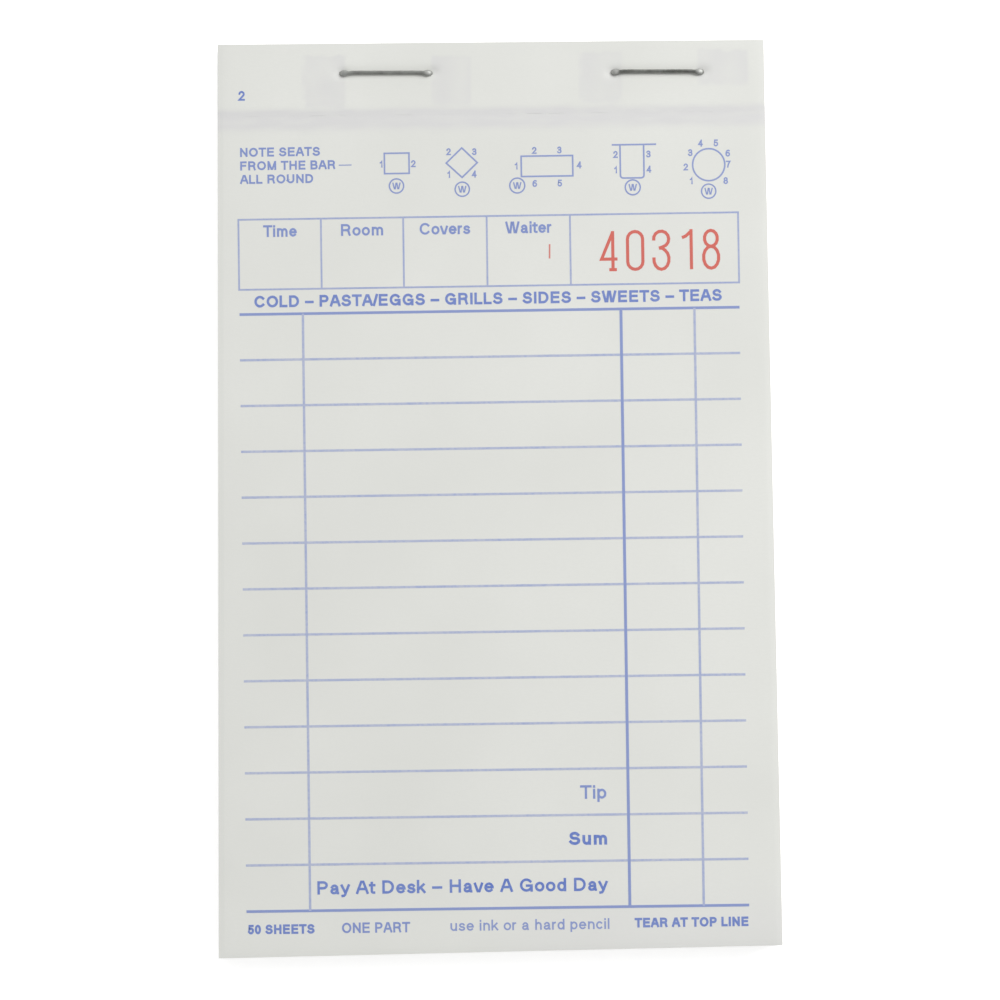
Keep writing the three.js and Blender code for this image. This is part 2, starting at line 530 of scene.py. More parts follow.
def make_check(number):
    columns, rows = check_grid(number)
    verts = []
    faces = []
    us = [u for u, inside in columns]
    place = check_place(number, columns)
    add_plate(verts, faces, us, rows, place, leaf_low(number), leaf_high(number))
    check = make_piece(f"paper_check_{number:02d}", verts, faces, paper)
    mark_points(check, "painted_shade_and_tone", leaf_tints(number, verts, check_tint))
    if number == 1:
        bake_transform(check)
    elif number == 2:
        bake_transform(check)
    else:
        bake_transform(check)
    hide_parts(f"check_{number:02d}")


for check_number in range(check_count, 0, -1):
    make_check(check_number)


# The stubs: the stapled ends of the same leaves, which stay in the pad when a check is torn out. The
# staples press them tight, and the stitching head has left a faint print on the uppermost.
stub_corners = (tear_left, tear_right, top_right, top_left)
stub_groups = [(1, 1), (2, 2), (3, 3), (4, 15), (16, 27), (28, 39), (40, 50)]
head_print_depth = 0.01
head_print_shade = 0.65
head_prints = [
    (-26.0, -19.9, 54.4, 62.2, 1.0),
    (-8.0, -2.4, 54.4, 62.1, 0.9),
    (12.7, 18.8, 54.4, 62.2, 0.95),
    (29.2, 36.6, 56.6, 62.3, 0.8),
]


def stub_place(number):
    chance = random.Random(300 + number)
    slip_x = drift(number, 3.0) + chance.uniform(-0.02, 0.02)
    slip_y = drift(number, 4.0) + chance.uniform(-0.03, 0.01)

    def place(u, v):
        x, y = spot(stub_corners, u, v)
        return x + slip_x * v, y + slip_y * v

    return place


def head_print(x, y):
    """How strongly the stitching head has pressed the paper here, from 0 to 1."""
    fray_x = 0.22 * noise.noise(Vector((x / 1.6, y / 1.2, 5.5)))
    fray_y = 0.4 * noise.noise(Vector((x / 1.3, y / 1.8, 8.5)))
    patchiness = 0.65 + 0.6 * noise.noise(Vector((x / 2.5, y / 3.5, 2.2)))
    inside = 0.0
    for left, right, low, high, strength in head_prints:
        along = smooth_step((y + fray_y - low) / 1.4) * smooth_step((high - y - fray_y) / 0.7)
        across = smooth_step((x + fray_x - left) / 0.4) * smooth_step((right - x - fray_x) / 0.6)
        inside = max(inside, strength * along * across)
    return inside * patchiness + 1.6 * inside * (1 - inside)


# Painted shade along the crease, and the stitching head's print.
def stub_tint(x, y):
    return crease_tint(x, y) + head_print_shade * head_print(x, y)


def stub_high(number):
    high = leaf_high(number)
    if number > 1:
        return high
    return lambda x, y: high(x, y) - head_print_depth * head_print(x, y)


def stub_grid(number):
    """How many columns and rows a stub's grid has: most on the uppermost."""
    if number == 1:
        return 152, 42
    if number <= pressed_leaves:
        return 76, 26
    return 12, 4


def make_stub(first, last):
    """One piece for each stub node of the model, with every leaf in it apart from the next."""
    if first == last:
        node_name = f"stub_{first:02d}"
    else:
        node_name = f"stub_block_{first:02d}_{last:02d}"
    verts = []
    faces = []
    tints = []
    for number in range(first, last + 1):
        leaf_start = len(verts)
        columns, rows = stub_grid(number)
        us = even_steps(0, 1, columns)
        vs = even_steps(0, 1, rows)
        add_plate(verts, faces, us, vs, stub_place(number), leaf_low(number), stub_high(number))
        tints += leaf_tints(number, verts[leaf_start:], stub_tint)
    stub = make_piece("paper_" + node_name, verts, faces, paper)
    mark_points(stub, "painted_shade_and_tone", tints)
    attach(stub, "stapled_base")
    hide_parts(node_name)


for first_leaf, last_leaf in stub_groups:
    make_stub(first_leaf, last_leaf)


# The printed form: one blue offset pass for rules, boxes, seat plans and plain words, and one red
# number from a numbering head. The ink is a film on the paper, made for the three uppermost leaves,
# whose faces can be seen.
ink_thickness = 0.02
ink_proud = 0.009
ink_step = 0.0004
ink_steps = 17
print_slip = -0.2
blue_ink = (0.13, 0.20, 0.54, 1.0)
blue_thin = (0.26, 0.335, 0.615, 1.0)
red_ink = (0.60, 0.062, 0.04, 1.0)
red_thin = (0.71, 0.16, 0.115, 1.0)


def make_ink(name, full, thin):
    """A thin film of ink, a little starved where the paper's fibres stand up."""
    material, surface, node = new_finish(name, 0.6, 0.3)
    place = node("TexCoord", {}).outputs["Object"]
    starved = grain(node, place, 2600, 3)
    patches = grain(node, place, 160, 2)
    density = node("Attribute", {}, attribute_name="inking").outputs["Fac"]
    colour = blend_colours(node, density, paper_light, full)
    colour = blend_colours(node, spread(node, starved, 0.45, 0.8, 0.0, 0.6), colour, thin)
    colour = blend_colours(node, spread(node, patches, 0.4, 0.75, 0.0, 0.4), colour, thin)
    connect(colour, surface.inputs["Base Color"])
    connect(spread(node, starved, 0.3, 0.7, 0.5, 0.75), surface.inputs["Roughness"])
    return material


blue = make_ink("blue_ink", blue_ink, blue_thin)
red = make_ink("red_ink", red_ink, red_thin)


def arc(x, y, across, up, first, last, steps=8):
    """Points round an oval, in degrees from the right and counter-clockwise."""
    angles = [math.radians(mix(first, last, i / steps)) for i in range(steps + 1)]
    return [(x + across * math.cos(a), y + up * math.sin(a)) for a in angles]


# The letters and digits: each has its advance as a share of the type size, its width between the
# middles of its outer strokes in heights of a capital, and its strokes in a box of 1 by 1.
capital_share = 0.718
stem = [(0, 0), (0, 1)]
far_stem = [(1, 0), (1, 1)]
short_stem = [(0, 0), (0, 0.68)]
open_round = arc(0.5, 0.5, 0.5, 0.5, 42, 318, 14)
low_bowl = arc(0.5, 0.34, 0.5, 0.34, 0, 360, 16)
low_arch = [(0, 0.36)] + arc(0.5, 0.4, 0.5, 0.28, 180, 0) + [(1, 0)]
letters = {
    "A": (0.667, 0.88, [[(0, 0), (0.4, 1), (0.6, 1), (1, 0)], [(0.14, 0.34), (0.86, 0.34)]]),
    "B": (0.667, 0.72, [
        stem,
        [(0, 1), (0.55, 1)] + arc(0.6, 0.76, 0.32, 0.24, 90, -90) + [(0, 0.52)],
        [(0.6, 0.52)] + arc(0.64, 0.26, 0.36, 0.26, 90, -90) + [(0, 0)],
    ]),
    "C": (0.722, 0.92, [open_round]),
    "D": (0.722, 0.80, [stem + arc(0.42, 0.5, 0.58, 0.5, 90, -90, 12) + [(0, 0)]]),
    "E": (0.667, 0.68, [[(1, 1), (0, 1), (0, 0), (1, 0)], [(0, 0.52), (0.92, 0.52)]]),
    "F": (0.611, 0.63, [[(1, 1), (0, 1), (0, 0)], [(0, 0.52), (0.88, 0.52)]]),
    "G": (0.778, 0.92, [arc(0.5, 0.5, 0.5, 0.5, 42, 335, 14), [(0.56, 0.45), (0.98, 0.45), (0.98, 0)]]),
    "H": (0.722, 0.76, [stem, far_stem, [(0, 0.52), (1, 0.52)]]),
    "I": (0.278, 0.00, [stem]),
    "L": (0.556, 0.58, [[(0, 1), (0, 0), (1, 0)]]),
    "M": (0.833, 0.93, [
        stem,
        [(0.08, 0.88), (0.42, 0.02), (0.58, 0.02), (0.92, 0.88)],
        far_stem,
    ]),
    "N": (0.722, 0.76, [stem, [(0.1, 0.9), (0.9, 0.1)], far_stem]),
    "O": (0.778, 0.96, [arc(0.5, 0.5, 0.5, 0.5, 90, 450, 20)]),
    "P": (0.667, 0.70, [
        stem,
        [(0, 1), (0.5, 1)] + arc(0.58, 0.73, 0.42, 0.27, 90, -90) + [(0, 0.46)],
    ]),
    "R": (0.722, 0.76, [
        stem,
        [(0, 1), (0.5, 1)] + arc(0.58, 0.74, 0.38, 0.26, 90, -90) + [(0, 0.48)],
        [(0.6, 0.48), (0.86, 0.38), (0.94, 0.1), (1, 0)],
    ]),
    "S": (0.667, 0.76, [
        arc(0.5, 0.75, 0.43, 0.25, 20, 262, 10) + arc(0.5, 0.26, 0.5, 0.26, 78, -160, 10),
    ]),
    "T": (0.611, 0.78, [[(0, 1), (1, 1)], [(0.5, 1), (0.5, 0)]]),
    "U": (0.722, 0.76, [[(0, 1), (0, 0.36)] + arc(0.5, 0.36, 0.5, 0.36, 180, 360) + [(1, 1)]]),
    "W": (0.944, 1.28, [
        [(0, 1), (0.2, 0), (0.32, 0), (0.44, 1), (0.56, 1), (0.68, 0), (0.8, 0), (1, 1)],
    ]),
    "a": (0.556, 0.56, [
        arc(0.46, 0.46, 0.4, 0.22, 160, 0, 6) + [(0.86, 0.1), (0.94, 0), (0.98, 0)],
        [(0.86, 0.39), (0.42, 0.34)] + arc(0.34, 0.17, 0.34, 0.17, 90, 270, 6)
        + [(0.62, 0.03), (0.86, 0.19)],
    ]),
    "c": (0.500, 0.56, [arc(0.5, 0.34, 0.5, 0.34, 45, 315, 10)]),
    "d": (0.556, 0.56, [low_bowl, far_stem]),
    "e": (0.556, 0.60, [[(0.02, 0.35), (1, 0.35)], arc(0.5, 0.34, 0.5, 0.34, 2, 315, 12)]),
    "h": (0.556, 0.51, [stem, low_arch]),
    "i": (0.222, 0.00, [short_stem, [(0, 0.96), (0, 1)]]),
    "k": (0.500, 0.54, [stem, [(0.88, 0.68), (0.02, 0.22)], [(0.4, 0.42), (1, 0)]]),
    "l": (0.222, 0.00, [stem]),
    "m": (0.833, 0.94, [
        short_stem,
        [(0, 0.4)] + arc(0.25, 0.43, 0.25, 0.25, 180, 0) + [(0.5, 0)],
        [(0.5, 0.4)] + arc(0.75, 0.43, 0.25, 0.25, 180, 0) + [(1, 0)],
    ]),
    "n": (0.556, 0.52, [short_stem, low_arch]),
    "o": (0.556, 0.62, [low_bowl]),
    "p": (0.556, 0.58, [[(0, -0.28), (0, 0.68)], low_bowl]),
    "r": (0.333, 0.25, [short_stem, [(0, 0.3)] + arc(0.95, 0.38, 0.95, 0.3, 180, 90, 5)]),
    "s": (0.500, 0.54, [
        arc(0.5, 0.51, 0.41, 0.17, 20, 262, 8) + arc(0.5, 0.17, 0.48, 0.17, 78, -160, 8),
    ]),
    "t": (0.333, 0.44, [
        [(0.42, 0.88), (0.42, 0.14)] + arc(0.7, 0.13, 0.28, 0.13, 180, 270, 4) + [(0.85, 0)],
        [(0.08, 0.68), (0.9, 0.68)],
    ]),
    "u": (0.556, 0.52, [
        [(0, 0.68), (0, 0.29)] + arc(0.5, 0.28, 0.5, 0.28, 180, 360),
        [(1, 0.68), (1, 0)],
    ]),
    "v": (0.500, 0.60, [[(0, 0.68), (0.38, 0), (0.62, 0), (1, 0.68)]]),
    "y": (0.500, 0.60, [
        [(0, 0.68), (0.52, 0.02)],
        [(1, 0.68), (0.46, -0.16), (0.32, -0.25), (0.12, -0.27)],
    ]),
    "/": (0.278, 0.30, [[(0, -0.02), (1, 1.02)]]),
    "-": (0.556, 0.66, [[(0, 0.39), (1, 0.39)]]),
    " ": (0.278, 0.00, []),
    "0": (0.556, 0.58, [arc(0.5, 0.5, 0.5, 0.5, 90, 450, 16)]),
    "1": (0.556, 0.30, [[(0, 0.74), (0.5, 0.8), (0.86, 1), (0.86, 0)]]),
    "2": (0.556, 0.58, [arc(0.5, 0.71, 0.47, 0.29, 170, -30, 9) + [(0, 0), (1, 0)]]),
    "3": (0.556, 0.58, [
        arc(0.5, 0.75, 0.43, 0.25, 160, -75, 9) + [(0.36, 0.52)],
        arc(0.5, 0.27, 0.5, 0.27, 80, -160, 9),
    ]),
    "4": (0.556, 0.60, [[(0.74, 0), (0.74, 1)], [(0.74, 1), (0, 0.28), (1, 0.28)]]),
    "5": (0.556, 0.58, [[(0.92, 1), (0.18, 1), (0.08, 0.5)] + arc(0.5, 0.32, 0.5, 0.32, 135, -155, 10)]),
    "6": (0.556, 0.58, [arc(0.5, 0.31, 0.5, 0.31, 0, 360, 14), arc(0.62, 0.45, 0.62, 0.55, 62, 180, 7)]),
    "7": (0.556, 0.58, [[(0, 1), (1, 1), (0.5, 0.45), (0.34, 0)]]),
    "8": (0.556, 0.58, [arc(0.5, 0.76, 0.42, 0.24, 0, 360, 12), arc(0.5, 0.27, 0.5, 0.27, 0, 360, 14)]),
}

# The numbering head's tall digits, with the short hooks of cast type, in heights of a digit.
numbering_digits = {
    "0": (0.40, [arc(0.2, 0.8, 0.2, 0.2, 0, 180) + arc(0.2, 0.2, 0.2, 0.2, 180, 360) + [(0.4, 0.8)]]),
    "1": (0.24, [[(0, 0.82), (0.1, 0.86), (0.22, 0.97)], [(0.24, 1.04), (0.24, -0.02)]]),
    "2": (0.40, [
        arc(0.2, 0.8, 0.2, 0.2, 200, -20, 10)
        + [(0.3, 0.56), (0.06, 0.24), (0, 0), (0.4, 0), (0.4, 0.09)],
    ]),
    "3": (0.40, [
        arc(0.2, 0.79, 0.2, 0.21, 190, -80, 10) + [(0.14, 0.55)],
        [(0.14, 0.55), (0.22, 0.55)] + arc(0.2, 0.26, 0.2, 0.27, 60, -190, 10),
    ]),
    "4": (0.42, [[(0.3, 0), (0.3, 1.02)], [(0.3, 0.99), (0, 0.28), (0.42, 0.28)], [(0.2, 0), (0.4, 0)]]),
    "8": (0.40, [
        arc(0.2, 0.79, 0.17, 0.21, 90, 450, 14),
        arc(0.2, 0.29, 0.2, 0.29, 90, 450, 14),
    ]),
    "9": (0.40, [
        arc(0.2, 0.78, 0.2, 0.22, 0, 360, 14),
        [(0.4, 0.8), (0.4, 0.22)] + arc(0.2, 0.22, 0.2, 0.22, 0, -150, 8),
    ]),
}


def lengthened(points, reach):
    """A pen stroke runs on past its end points by half its width, unless it closes on itself."""
    if math.dist(points[0], points[-1]) < 0.001:
        return points
    ends = []
    for (x, y), (next_x, next_y) in ((points[0], points[1]), (points[-1], points[-2])):
        share = reach / math.dist((x, y), (next_x, next_y))
        ends.append((x + (x - next_x) * share, y + (y - next_y) * share))
    return [ends[0]] + points[1:-1] + [ends[1]]


def pen_strokes(lines, x, y, width, tall, stroke, density):
    """The strokes of one letter. X and y are the middle of the stroke at its lower left corner."""
    strokes = []
    for line in lines:
        points = [(x + px * width, y + py * tall) for px, py in line]
        strokes.append((lengthened(points, stroke / 2), stroke, density))
    return strokes


def set_words(text, left, right, base, capital, stroke, density=1.0):
    """The strokes of a line of words. Capital is the height of a capital over its ink, and the letters
    are drawn out or in a little so that the line fills its length."""
    tall = capital - stroke
    advances = [letters[c][0] * capital / capital_share for c in text]
    widths = [letters[c][1] * tall for c in text]
    spare = (advances[0] - widths[0] + advances[-1] - widths[-1]) / 2
    fill = (right - left - stroke) / (sum(advances) - spare)
    strokes = []
    x = left + stroke / 2 - fill * (advances[0] - widths[0]) / 2
    for c, advance, width in zip(text, advances, widths):
        side = x + fill * (advance - width) / 2
        foot = base + stroke / 2
        strokes += pen_strokes(letters[c][2], side, foot, fill * width, tall, stroke, density)
        x += fill * advance
    return strokes


def set_mark(text, x, y, height, stroke, density=1.0):
    """One letter or digit with its middle at a point."""
    tall = height - stroke
    advance, width, lines = letters[text]
    side = x - width * tall / 2
    return pen_strokes(lines, side, y - tall / 2, width * tall, tall, stroke, density)


rule_left = -35.05
rule_right = 34.85
first_rule_y = 25.88
row_height = 6.405
row_count = 13
rule_bottom_y = first_rule_y - row_count * row_height
thin_rule = 0.33
thin_rule_density = 0.42
fine_column = 0.33
fine_column_density = 0.47
heavy_rule = 0.38
heavy_rule_density = 0.8
heavy_column = 0.41
item_column_x = -26.18
price_column_x = 18.28
cents_column_x = 28.55

box_top = 39.18
box_bottom = 29.35
box_line = 0.25
box_density = 0.57
box_dividers = [-23.5, -11.98, -0.3, 11.35]
box_titles = [
    ("Time", -31.6, -26.9),
    ("Room", -20.7, -14.8),
    ("Covers", -9.7, -2.6),
    ("Waiter", 2.3, 8.75),
]

seat_line = 0.23
seat_density = 0.75
seat_number_height = 0.98
seat_number_stroke = 0.19
seat_number_density = 0.8
waiter_ring_line = 0.2
waiter_letter_height = 0.95
waiter_letter_stroke = 0.18

serial_height = 5.3
serial_base = 31.4
serial_centres = (16.8, 20.4, 24.05, 27.6, 31.0)
serial_stroke = 0.44
serial_density = 0.88
first_serial = 40318


def closed(corners):
    return corners + corners[:1]


def form_rules():
    strokes = []
    for row in range(row_count + 1):
        y = first_rule_y - row * row_height
        heavy = row in (0, row_count)
        width = heavy_rule if heavy else thin_rule
        density = heavy_rule_density if heavy else thin_rule_density
        strokes.append(([(rule_left, y), (rule_right, y)], width, density))
    columns = [
        (item_column_x, fine_column, fine_column_density),
        (price_column_x, heavy_column, heavy_rule_density),
        (cents_column_x, fine_column, fine_column_density),
    ]
    for x, width, density in columns:
        strokes.append(([(x, first_rule_y), (x, rule_bottom_y)], width, density))
    low_corners = [(rule_left, box_bottom), (rule_right, box_bottom)]
    high_corners = [(rule_right, box_top), (rule_left, box_top)]
    strokes.append((closed(low_corners + high_corners), box_line, box_density))
    for x in box_dividers:
        strokes.append(([(x, box_bottom), (x, box_top)], box_line, box_density))
    return strokes


def form_words():
    strokes = []
    for text, left, right in box_titles:
        strokes += set_words(text, left, right, 36.7, 1.66, 0.3, 0.85)
    heading = "COLD - PASTA/EGGS - GRILLS - SIDES - SWEETS - TEAS"
    strokes += set_words(heading, -32.95, 32.4, 26.82, 1.66, 0.35, 0.95)
    strokes += set_words("NOTE SEATS", -34.7, -23.5, 48.0, 1.27, 0.26, 0.85)
    strokes += set_words("FROM THE BAR", -34.7, -21.4, 46.1, 1.27, 0.26, 0.85)
    strokes.append(([(-20.9, 46.64), (-19.1, 46.64)], 0.14, 0.8))
    strokes += set_words("ALL ROUND", -34.75, -24.5, 44.2, 1.27, 0.26, 0.85)
    strokes += set_words("Tip", 11.6, 15.25, -42.37, 1.9, 0.32, 0.85)
    strokes += set_words("Sum", 9.95, 15.25, -48.75, 1.84, 0.4)
    strokes += set_words("Pay At Desk - Have A Good Day", -25.15, 15.25, -55.15, 1.86, 0.35)
    strokes += set_words("50 SHEETS", -34.9, -25.6, -60.55, 1.33, 0.31, 0.95)
    strokes += set_words("ONE PART", -21.8, -12.3, -60.55, 1.45, 0.27, 0.85)
    strokes += set_words("use ink or a hard pencil", -6.7, 15.4, -60.45, 1.5, 0.23, 0.78)
    strokes += set_words("TEAR AT TOP LINE", 18.9, 34.7, -60.3, 1.33, 0.32, 0.95)
    return strokes


def seat_plans():
    """Five table shapes with their seats numbered, and the waiter's place ringed."""
    outlines = [
        [(-14.5, 45.35), (-11.05, 45.35), (-11.05, 48.2), (-14.5, 48.2)],
        [(-5.85, 46.7), (-3.65, 44.65), (-1.5, 46.7), (-3.65, 48.8)],
        [(4.65, 44.65), (11.85, 44.65), (11.85, 47.5), (4.65, 47.5)],
    ]
    lines = [closed(outline) for outline in outlines]
    booth = arc(18.9, 44.62, 0.4, 0.4, 180, 270, 4) + arc(21.4, 44.62, 0.4, 0.4, 270, 360, 4)
    lines.append([(18.5, 48.9)] + booth + [(21.8, 48.9)])
    lines.append([(17.35, 48.9), (23.55, 48.9)])
    lines.append(arc(30.86, 45.92, 2.25, 2.25, 0, 360, 40))
    strokes = [(line, seat_line, seat_density) for line in lines]
    seats = {
        "1": [(-14.95, 46.7), (-5.5, 45.1), (3.95, 46.15), (17.85, 45.4), (28.4, 43.7)],
        "2": [(-10.45, 46.7), (-5.5, 48.3), (6.5, 48.3), (17.85, 47.55), (27.65, 45.65)],
        "3": [(-1.9, 48.25), (10.0, 48.3), (22.45, 47.55), (28.3, 47.65)],
        "4": [(-1.95, 45.1), (12.75, 46.15), (22.5, 45.4), (29.75, 48.95)],
        "5": [(10.0, 43.65), (31.9, 48.95)],
        "6": [(6.5, 43.65), (33.55, 47.5)],
        "7": [(33.6, 45.95)],
        "8": [(33.2, 43.65)],
    }
    for text, places in seats.items():
        for x, y in places:
            strokes += set_mark(text, x, y, seat_number_height, seat_number_stroke, seat_number_density)
    waiters = [
        (-12.85, 43.6, 1.0),
        (-3.65, 43.0, 1.0),
        (4.05, 43.4, 1.05),
        (20.2, 42.9, 1.05),
        (30.8, 42.2, 1.0),
    ]
    for x, y, radius in waiters:
        ring = arc(x, y, radius, radius, 0, 360, 24)
        strokes.append((ring, waiter_ring_line, seat_number_density))
        strokes += set_mark("W", x, y, waiter_letter_height, waiter_letter_stroke, seat_number_density)
    return strokes


def numbering(number):
    """The red serial number, and the short tick that the numbering head leaves beside it."""
    tall = serial_height
    strokes = []
    for text, x in zip(str(number), serial_centres):
        width, lines = numbering_digits[text]
        for line in lines:
            points = [(x + (px - width / 2) * tall, serial_base + py * tall) for px, py in line]
            strokes.append((points, serial_stroke, serial_density))
    strokes.append(([(8.42, 33.1), (8.46, 35.1)], 0.22, 0.75))
    return strokes


def follow(points, step=1.6):
    """The same line with points close enough to lie on the leaf's ripples."""
    line = [points[0]]
    for a, b in zip(points, points[1:]):
        count = max(1, math.ceil(math.dist(a, b) / step))
        line += [(mix(a[0], b[0], i / count), mix(a[1], b[1], i / count)) for i in range(1, count + 1)]
    return line


def add_stroke(verts, faces, points, width, height, lift):
    """A ribbon of ink with square ends and mitred corners, as a closed film half sunk in the paper. A
    line that ends where it began becomes a ring."""
    line = [Vector(point) for point in follow(points)]
    ring = (line[0] - line[-1]).length < 0.001
    if ring:
        line.pop()
    count = len(line)
    start = len(verts)
    for i, here in enumerate(line):
        coming = (here - line[i - 1]).normalized()
        going = (line[(i + 1) % count] - here).normalized()
        if not ring and i == 0:
            coming = going
        if not ring and i == count - 1:
            going = coming
        between = (coming + going).normalized()
        reach = min(1 / max(between.dot(coming), 0.45), 2.2) * width / 2
        for side, drop in ((1, ink_thickness), (-1, ink_thickness), (-1, 0), (1, 0)):
            x = here.x - side * between.y * reach
            y = here.y + side * between.x * reach
            verts.append((x * MM, y * MM, (height(x, y) + lift + ink_proud - drop) * MM))
    for i in range(count if ring else count - 1):
        this = start + 4 * i
        following = start + 4 * ((i + 1) % count)
        for k in range(4):
            m = (k + 1) % 4
            faces.append((this + k, following + k, following + m, this + m))
    if not ring:
        last = start + 4 * (count - 1)
        faces.append((start, start + 1, start + 2, start + 3))
        faces.append((last + 3, last + 2, last + 1, last))


def print_strokes(name, strokes, number, material, body):
    height = leaf_high(number)
    verts = []
    faces = []
    densities = []
    for i, (points, width, density) in enumerate(strokes):
        slipped = [(x + print_slip, y) for x, y in points]
        add_stroke(verts, faces, slipped, width, height, ink_step * (i % ink_steps))
        densities += [density] * (len(verts) - len(densities))
    piece = make_piece(name, verts, faces, material)
    mark_points(piece, "inking", densities)
    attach(piece, body)


form = form_rules() + form_words() + seat_plans()
leaf_bodies = ("top_check", "second_check", "checks_03_to_50")
for leaf_number, leaf_body in enumerate(leaf_bodies, start=1):
    print_strokes(f"form_print_{leaf_number:02d}", form, leaf_number, blue, leaf_body)
    serial = numbering(first_serial + leaf_number - 1)
    print_strokes(f"serial_print_{leaf_number:02d}", serial, leaf_number, red, leaf_body)
stub_mark = set_mark("2", -34.4, 56.6, 1.38, 0.27)
print_strokes("stub_print", stub_mark, 1, blue, "stapled_base")


# The staples: two lengths of drawn steel stitching wire, driven through stubs and board and clinched
# inwards underneath. The driver has pressed each crown flat and into the paper and has bruised its
# bends, and the top of each bend carries a painted highlight.
wire_radius = 0.27
staple_slips = {"staple_left": (-0.12, -0.14), "staple_right": (0.0, -0.05)}
crown_centre_z = 6.15
crown_sag = 0.035
crown_flat = 0.8
crown_lean = 0.08
crown_steps = 12
bend_radius = 0.6
bend_steps = 8
bruise_start = 5.35
bruise_run = 0.37
bruise_swell = 0.6
bruise_flatness = 0.15
leg_steps = 6
clinch_centre_z = 0.31
clinch_rise = 0.05
clinch_steps = 8
tip_taper = 0.45
staple_askew = -0.013
crown_wear = {"staple_left": 0.12, "staple_right": 0.015}
# Painted highlight on the top of each staple's left and right bend.
bend_highlight = {"staple_left": (0.2, 0.33), "staple_right": (0.45, 0.28)}
wire_sides = 16
steel_dark = (0.17, 0.175, 0.16, 1.0)
steel_light = (0.34, 0.35, 0.33, 1.0)
steel_bright = (0.80, 0.80, 0.78, 1.0)


def make_steel():
    """Drawn wire: fine lines along it and a dull, slightly oiled skin, lighter where worn, with a
    painted highlight on the top of its bends, which is rougher there.
    """
    material, surface, node = new_finish("wire_steel", 0.35, metallic=1.0)
    place = node("TexCoord", {}).outputs["Object"]
    lines = grain(node, place, 2200, 3, (0.08, 1, 1))
    patches = grain(node, place, 700, 3)
    wear_and_highlight = node("Attribute", {}, attribute_name="wear_and_highlight").outputs["Fac"]
    colour = blend_colours(node, spread(node, patches, 0.3, 0.7), steel_dark, steel_light)
    colour = blend_colours(node, wear_and_highlight, colour, steel_bright)
    connect(colour, surface.inputs["Base Color"])
    skin = spread(node, lines, 0.3, 0.7, 0.22, 0.38)
    rough = node("Math", {0: wear_and_highlight, 1: skin}, operation="ADD")
    connect(rough.outputs[0], surface.inputs["Roughness"])
    add_bump(node, surface, lines, 0.4, 0.00001)
    return material


steel = make_steel()


def staple_line(centre):
    """Points along the wire's middle with the wire's thickness at each, from one clinched end to the
    other."""
    x, y = centre
    bend_start = staple_leg_offset - bend_radius
    leg_top = crown_centre_z - bend_radius
    leg_foot = clinch_centre_z + bend_radius
    half = []
    for i in range(crown_steps + 1):
        along = i / crown_steps
        sag = crown_sag * math.cos(along * math.pi / 2)
        across = mix(0, bend_start, along)
        bulge = 1 + bruise_swell * smooth_step((across - bruise_start) / bruise_run)
        half.append((across, crown_centre_z - sag, bulge))
    for i in range(1, bend_steps + 1):
        angle = math.radians(90 - 90 * i / bend_steps)
        bulge = 1 + bruise_swell * math.cos(math.pi / 2 * i / bend_steps) ** 0.7
        across = bend_start + bend_radius * math.cos(angle)
        half.append((across, leg_top + bend_radius * math.sin(angle), bulge))
    for i in range(1, leg_steps + 1):
        half.append((staple_leg_offset, mix(leg_top, leg_foot, i / leg_steps), 1.0))
    for i in range(1, bend_steps + 1):
        angle = math.radians(90 * i / bend_steps)
        bulge = 1 + 0.08 * math.sin(math.pi * i / bend_steps)
        across = bend_start + bend_radius * math.cos(angle)
        half.append((across, leg_foot - bend_radius * math.sin(angle), bulge))
    for i in range(1, clinch_steps + 1):
        along = i / clinch_steps
        across = mix(bend_start, staple_leg_offset - clinch_length, along)
        taper = 1 - tip_taper * smooth_step((along - 0.8) / 0.2)
        half.append((across, clinch_centre_z + clinch_rise * along * along, taper))
    other_half = [(-across, z, size) for across, z, size in reversed(half[1:])]
    line = []
    for across, z, size in other_half + half:
        on_crown = z > stack_top / 2
        lean = crown_lean * smooth_step((5.7 - abs(across)) / 1.2) if on_crown else 0.0
        line.append((Vector((x + across, y + across * staple_askew + lean, z)), size))
    return line


def make_staple(node_name, centre):
    slip_x, slip_y = staple_slips[node_name]
    line = staple_line((centre[0] + slip_x, centre[1] + slip_y))
    verts = []
    faces = []
    wire_wear_and_highlight = []
    sideways = Vector((0, 1, 0))
    for i, (point, size) in enumerate(line):
        before = line[max(i - 1, 0)][0]
        after = line[min(i + 1, len(line) - 1)][0]
        tangent = (after - before).normalized()
        outward = tangent.cross(sideways).normalized()
        on_bend = smooth_step((size - 1) / bruise_swell) * bend_highlight[node_name][point.x > centre[0]]
        for k in range(wire_sides):
            angle = 2 * math.pi * k / wire_sides
            thick = 1 - bruise_flatness * (size - 1) if size > 1 else size
            offset = sideways * math.cos(angle) * size + outward * math.sin(angle) * thick
            offset.z = min(offset.z, crown_flat)
            verts.append((point + offset * wire_radius) * MM)
            # The wire's worn tone everywhere, and a painted highlight on the top of its bends.
            upward = smooth_step((offset.normalized().z - 0.1) / 0.4)
            wire_wear_and_highlight.append(max(crown_wear[node_name], on_bend * upward))
    for i in range(len(line) - 1):
        for k in range(wire_sides):
            a = i * wire_sides + k
            b = i * wire_sides + (k + 1) % wire_sides
            faces.append((a, b, b + wire_sides, a + wire_sides))
    faces.append(tuple(reversed(range(wire_sides))))
    faces.append(tuple(range(len(verts) - wire_sides, len(verts))))
    staple = make_piece("wire_" + node_name, verts, faces, steel, 50)
    mark_points(staple, "wear_and_highlight", wire_wear_and_highlight)
    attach(staple, "stapled_base")
    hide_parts(node_name)


make_staple("staple_left", staple_centres[0])
make_staple("staple_right", staple_centres[1])


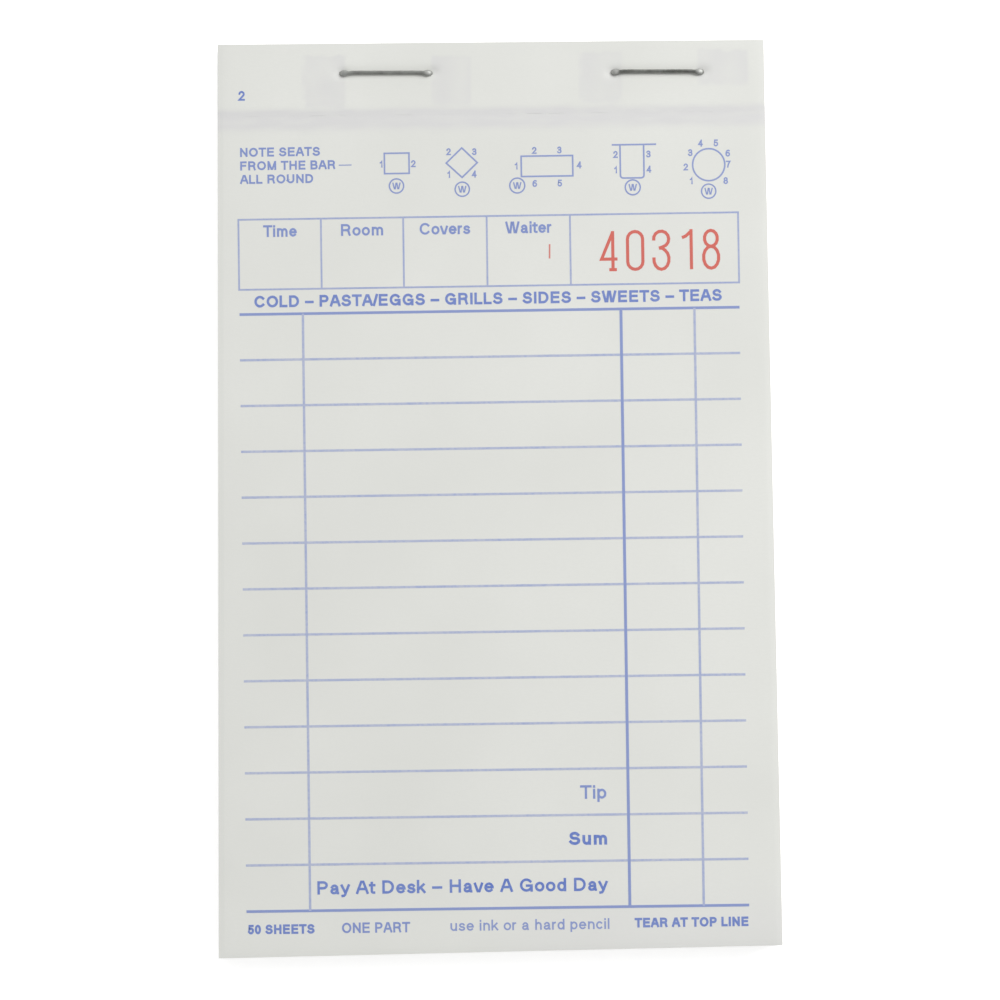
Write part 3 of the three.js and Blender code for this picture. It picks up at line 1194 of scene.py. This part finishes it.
# The table: a plain white sheet that the pad lies on, pale enough to vanish behind it but still
# holding its soft shadow. Its size is in metres.
table_size = 6.0
table_height = -0.00002
table_colour = (0.86, 0.86, 0.86, 1.0)
table_glow = 0.62


def make_table():
    material, surface, node = new_finish("table_white", 0.9, 0.0)
    surface.inputs["Base Color"].default_value = table_colour
    rays = node("LightPath", {}).outputs
    seen = node("Math", {0: rays["Is Camera Ray"], 1: rays["Is Glossy Ray"]}, operation="MAXIMUM")
    seen = node("Math", {0: seen.outputs[0], 1: rays["Is Transmission Ray"]}, operation="MAXIMUM")
    strength = node("Math", {0: seen.outputs[0], 1: table_glow}, operation="MULTIPLY")
    glow = node("Emission", {"Color": (1, 1, 1, 1), "Strength": strength.outputs[0]})
    both = node("AddShader", {0: surface.outputs[0], 1: glow.outputs[0]})
    output = material.node_tree.nodes["Material Output"]
    connect(both.outputs[0], output.inputs["Surface"])
    half = table_size / 2
    corners = [(-half, -half), (half, -half), (half, half), (-half, half)]
    verts = [(x, y, table_height) for x, y in corners]
    table = make_piece("table", verts, [(0, 1, 2, 3)], material)


make_table()


# The light: a pale room, darker straight overhead and brighter beyond the stapled end, and one large
# soft lamp on the right, whose place and size are in metres and its power in watts.
room_horizon = (0.92, 0.925, 0.94, 1.0)
room_overhead = (0.375, 0.375, 0.366, 1.0)
room_lean = 0.35
lamp_place = Vector((0.62, 0.45, 0.60))
lamp_size = 0.6
lamp_power = 7.4


def make_room():
    world = bpy.data.worlds.new("room")
    bpy.context.scene.world = world
    world.use_nodes = True
    node = node_maker(world.node_tree)
    direction = node("TexCoord", {}).outputs["Generated"]
    parts = node("SeparateXYZ", {0: direction}).outputs
    ramp = node("ValToRGB", {0: parts["Z"]})
    ramp.color_ramp.elements[0].color = room_horizon
    ramp.color_ramp.elements[1].color = room_overhead
    strength = node("Math", {0: parts["Y"], 1: room_lean, 2: 1.0}, operation="MULTIPLY_ADD")
    background = world.node_tree.nodes["Background"].inputs
    connect(ramp.outputs[0], background["Color"])
    connect(strength.outputs[0], background["Strength"])


def make_lamp():
    data = bpy.data.lights.new("softbox", "AREA")
    data.shape = "SQUARE"
    data.size = lamp_size
    data.energy = lamp_power
    lamp = bpy.data.objects.new("softbox", data)
    lamp.location = lamp_place
    lamp.rotation_euler = (-lamp_place).to_track_quat("-Z", "Y").to_euler()
    bpy.context.scene.collection.objects.link(lamp)


make_room()
make_lamp()


# The camera: almost straight above the pad, a little towards its free end, with a long lens.
camera_place = Vector((7.50, -22.03, 605.6)) * MM
camera_aim = Vector((0.815, -0.585, 6.0)) * MM
camera_turn = math.radians(0.804)
camera_lens = 154.8
camera_sensor = 36.0


def make_camera():
    data = bpy.data.cameras.new("camera")
    data.lens = camera_lens
    data.sensor_width = camera_sensor
    data.clip_start = 0.01
    data.clip_end = 50
    camera = bpy.data.objects.new("camera", data)
    forward = (camera_aim - camera_place).normalized()
    up_hint = Vector((math.sin(camera_turn), math.cos(camera_turn), 0))
    right = forward.cross(up_hint).normalized()
    up = right.cross(forward)
    turned = Matrix((right, up, -forward)).transposed().to_4x4()
    camera.matrix_world = Matrix.Translation(camera_place) @ turned
    bpy.context.scene.collection.objects.link(camera)
    bpy.context.scene.camera = camera


make_camera()
bpy.context.scene.view_settings.view_transform = "Standard"
